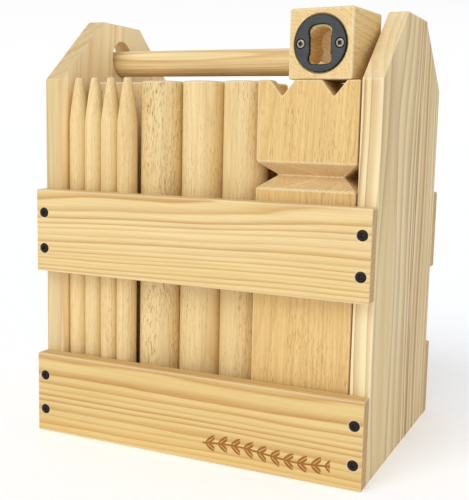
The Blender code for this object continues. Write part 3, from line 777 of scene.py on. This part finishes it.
def makeBlockTree():                          # a squared block, a hair out of true
    tree, maker, given = newTree(
        "squaredBlock", ("Width", "Float", 0.058), ("Height", "Float", 0.150),
        ("Place", "Vector", (0.0, 0.0, 0.0)), ("Planing", "Float", 0.0002), ("Seed", "Float", 0.0),
        ("Finish", "Material", None))
    size = maker.join(given["Width"], given["Width"], given["Height"])
    block = maker.node("GeometryNodeMeshCube", {}, {"Size": size})
    x, y, z = maker.split(maker.node("GeometryNodeInputPosition"))
    chance = maker.noise(maker.join(x + given["Seed"], y, z), (31.0, 31.0, 31.0), detail=0.0, out=1)
    planed = maker.vector("MULTIPLY", maker.vector("ADD", chance, (-0.5, -0.5, -0.5)),
                          maker.join(given["Planing"], given["Planing"], 0.0))
    lifted = maker.vector("ADD", given["Place"], maker.join(0.0, 0.0, given["Height"] / 2.0))
    block = maker.node("GeometryNodeSetPosition", {}, {"Geometry": block,
                                                      "Offset": maker.vector("ADD", planed, lifted)})
    closeTree(maker, block, given["Finish"])
    return tree


blockTree = makeBlockTree()
fieldBlock = {"width": 0.058, "height": 0.150, "pitch": 0.074, "edge": 0.0016, "fromLeft": 0.0125,
              "behindHandle": 0.0007, "planing": 0.0002, "slack": 0.0002}


def makeFieldBlocks():
    width, height = fieldBlock["width"], fieldBlock["height"]
    rearY = crate["depth"] / 2 - 2 * crate["gap"] - width / 2
    places = [(-panelInside + fieldBlock["fromLeft"] + width / 2,
               -handle["radius"] - fieldBlock["behindHandle"] - width / 2)]
    places += [((column - 1.5) * fieldBlock["pitch"], rearY) for column in range(4)]
    chance = random.Random(3)
    for column, (x, y) in enumerate(places):
        for level in range(2):
            number = 2 * column + level + 1
            z = gameBase + level * (height + crate["gap"])
            piece = grow(f"squared_block_{number}", blockTree, {
                "Width": width - fieldBlock["slack"], "Height": height, "Place": (x, y, z),
                "Planing": fieldBlock["planing"], "Seed": float(number), "Finish": hardwood})
            easeEdges(piece, fieldBlock["edge"])
            pith = (x + chance.uniform(-0.06, 0.06), y + chance.choice((-1, 1)) * chance.uniform(0.03, 0.07))
            placeInLog(piece, (*pith, 101.0 + 3.7 * number), chance.uniform(0.3, 0.6))
            keep(piece, f"field_block_{number}", "game_hardwood", f"field_block_{number}")


makeFieldBlocks()
print("field blocks made")

kingX = panelInside - king["sideGap"] - king["width"] / 2
kingY = -crate["depth"] / 2 + king["frontGap"] + king["width"] / 2


def makeKing():
    half = king["width"] / 2
    levels = [(0.0, half), (king["neckTop"] - king["neckHeight"], half),
              (king["neckTop"] - king["neckHeight"] / 2, half - king["neckDepth"]),
              (king["neckTop"], half), (king["height"], half)]

    def build(shape):
        rings = [[shape.verts.new((kingX + a * reach, kingY + b * reach, gameBase + z))
                  for a, b in ((-1, -1), (1, -1), (1, 1), (-1, 1))] for z, reach in levels]
        for low, high in zip(rings, rings[1:]):
            for i in range(4):
                shape.faces.new((low[i], low[(i + 1) % 4], high[(i + 1) % 4], high[i]))
        shape.faces.new(rings[0])
        shape.faces.new(rings[-1])
    piece = newObject("crowned_king", solidMesh("king", kingWood, build))
    top = gameBase + king["height"]
    reach, over = king["notchWidth"] / 2, king["notchOver"]
    slope = king["notchDepth"] / reach
    for side in (-1, 1):                      # a notch, and the opening between front and rear teeth
        x = kingX + side * king["notchX"]
        notch = [(x - reach - over, top + slope * over), (x, top - king["notchDepth"]),
                 (x + reach + over, top + slope * over)]
        carve(piece, prism("notch", None, notch, "y", kingY - half - overshoot, kingY + half + overshoot))
        inner, outer = sorted((x, kingX + side * (half + overshoot)))
        behind = half - king["toothDepth"]
        carve(piece, boxMesh("opening", None, (inner, kingY - behind, top - king["notchDepth"]),
                             (outer, kingY + behind, top + overshoot)))
    easeEdges(piece, king["edge"], angle=30)
    placeInLog(piece, (kingX - 0.055, kingY + 0.09, 151.3), 0.5)
    keep(piece, "king", "king_wood", "king")


makeKing()
print("king made")

opener = {"width": 0.058, "depth": 0.060, "height": 0.058, "turn": -6, "x": 0.1112, "y": -0.0722,
          "edge": 0.0018, "plateRadius": 0.0235, "plateThickness": 0.003, "recess": 0.0022,
          "ringGap": 0.0012, "pocketRadius": 0.0116, "pocketLift": 0.0025, "footRadius": 0.0065,
          "footX": 0.0050, "footDrop": 0.0100, "pocketDepth": 0.026, "screwX": 0.0177,
          "sinkGap": 0.0004, "sinkDepth": 0.0019, "plateEdge": 0.0007, "pocketFloorPaintedLight": 2.0}
plateScrew = dict(screw, headRadius=0.0034, headDepth=0.0018, shankRadius=0.0014, length=0.016, dome=0.0003,
                  crossLength=0.0042, crossWidth=0.0013, crossDepth=0.0014, sink=0.0)


def slotOutline():                            # a low arch, shoulders, a straight waist and a wider foot
    right = [(0.0, 0.0154), (0.0030, 0.0152), (0.0060, 0.0146), (0.0085, 0.0134), (0.0100, 0.0117),
             (0.0104, 0.0098), (0.0103, 0.0075), (0.0095, 0.0056), (0.0093, -0.0084), (0.0102, -0.0102),
             (0.0104, -0.0136), (0.0092, -0.0156), (0.0070, -0.0166), (0.0, -0.0168)]
    return right + [(-x, z) for x, z in reversed(right) if x > 0]


def makeOpener():
    width, depth, height = opener["width"], opener["depth"], opener["height"]
    middleZ = gameBase + king["height"] + crate["gap"] + height / 2
    turn = Matrix.Rotation(math.radians(opener["turn"]), 4, "Z")
    turn = Matrix.Translation((opener["x"], opener["y"], middleZ)) @ turn
    block = newObject("opener_cube", boxMesh("cube", openerWood, (-width / 2, -depth / 2, -height / 2),
                                            (width / 2, depth / 2, height / 2)))
    easeEdges(block, opener["edge"])
    front = -depth / 2

    def bore(middle, radius, sides, depth):
        return prism("bore", None, circle(middle, radius, sides), "y", front - overshoot, front + depth)
    deep = opener["pocketDepth"]
    carve(block, bore((0, 0), opener["plateRadius"] + opener["ringGap"], 96, opener["recess"]),
          bore((0, opener["pocketLift"]), opener["pocketRadius"], 64, deep),
          *[bore((side * opener["footX"], -opener["footDrop"]), opener["footRadius"], 48, deep)
            for side in (-1, 1)])
    # the floor of the pocket is painted lighter: painted light where the deep pocket lies in shade
    placeInLog(block, (opener["x"] - 0.034, 161.0, middleZ - 0.040),
               lambda face: opener["pocketFloorPaintedLight"] if face.normal.y < -0.9
               and abs(face.center.y - front - deep) < 0.0005 else 0.5)
    block.data.transform(turn)
    keep(block, "opener", "game_hardwood", "opener_block")
    back = front + opener["recess"] - crate["gap"]
    plate = newObject("opener_disc", prism("disc", gunmetal, circle((0, 0), opener["plateRadius"], 96), "y",
                                          back - opener["plateThickness"], back))
    carve(plate, prism("slot", None, slotOutline(), "y", back - overshoot, back + overshoot))
    for side in (-1, 1):
        sink = circle((side * opener["screwX"], 0), plateScrew["headRadius"] + opener["sinkGap"], 32)
        carve(plate, prism("sink", None, sink, "y", back - overshoot,
                           back - opener["plateThickness"] + opener["sinkDepth"]))
    easeEdges(plate, opener["plateEdge"], 2)
    # the plate's rim and the walls of its slot and sinks are marked for painted shade
    markWearAndPaintedLight(plate.data, lambda face: abs(face.normal.y) < 0.97)
    plate.data.transform(turn)
    keep(plate, "opener", "gunmetal_plate", "opener_plate")
    face = back - opener["plateThickness"]
    places = [((side * opener["screwX"], face, 0.0), (0, 1, 0)) for side in (-1, 1)]
    screws = setScrews("plate_screws", plateScrew, places, seed=4, finish=dullBrass)
    screws.data.transform(turn)
    keep(screws, "opener", "plate_screw", "plate_screw_left", "plate_screw_right")


makeOpener()
print("opener made")

studio = {"camera": (0.3508, -0.7936, 0.2973), "yaw": 24.567, "pitch": -7.91, "roll": 1.28, "lens": 62.6,
          "keyAim": (0.20, 0.70, -0.68), "keySoftness": 36, "keyStrength": 1.06,
          "floor": shade(246, 248, 253), "horizon": 1.0, "zenith": 0.45, "floorGlow": 0.27}


def makeStudio():
    lens = bpy.data.cameras.new("camera")
    lens.lens, lens.clip_start, lens.clip_end = studio["lens"], 0.01, 100
    camera = newObject("camera", lens)
    yaw, pitch, roll = (math.radians(studio[key]) for key in ("yaw", "pitch", "roll"))
    camera.matrix_world = (Matrix.Translation(studio["camera"]) @ Matrix.Rotation(yaw, 4, "Z")
                           @ Matrix.Rotation(math.pi / 2 + pitch, 4, "X") @ Matrix.Rotation(roll, 4, "Z"))
    scene.camera = camera
    key = bpy.data.lights.new("key", "SUN")
    key.energy, key.angle = studio["keyStrength"], math.radians(studio["keySoftness"])
    lamp = newObject("key", key)
    lamp.rotation_euler = Vector(studio["keyAim"]).to_track_quat("-Z", "Y").to_euler()

    material, maker = newMaterial("paleFloor")
    grain = maker.noise(maker.node("ShaderNodeTexCoord", out="Object"), (40.0, 40.0, 40.0))
    glow = (studio["floorGlow"],) * 3 + (1.0,)
    closeMaterial(maker, {"Base Color": studio["floor"], "Roughness": 0.8, "Emission Color": glow,
                          "Emission Strength": 1.0}, grain, 0.02, 0.0001)
    ground = newObject("ground", boxMesh("ground", material, (-40, -40, -0.02), (40, 40, 0.0)))

    world = bpy.data.worlds.new("softRoom")
    scene.world = world
    world.use_nodes = True
    world.node_tree.nodes.clear()
    maker = Maker(world.node_tree)
    up = maker.split(maker.node("ShaderNodeTexCoord", out="Generated"))[2]
    level = maker.fade(up, 0.05, 0.75)
    sky = maker.blend(level, (studio["horizon"],) * 3 + (1.0,), (studio["zenith"],) * 3 + (1.0,))
    light = maker.node("ShaderNodeBackground", {}, {"Color": sky, "Strength": 1.0})
    maker.finish("ShaderNodeOutputWorld", light)
    scene.view_settings.view_transform = "Standard"


makeStudio()
print("studio made")
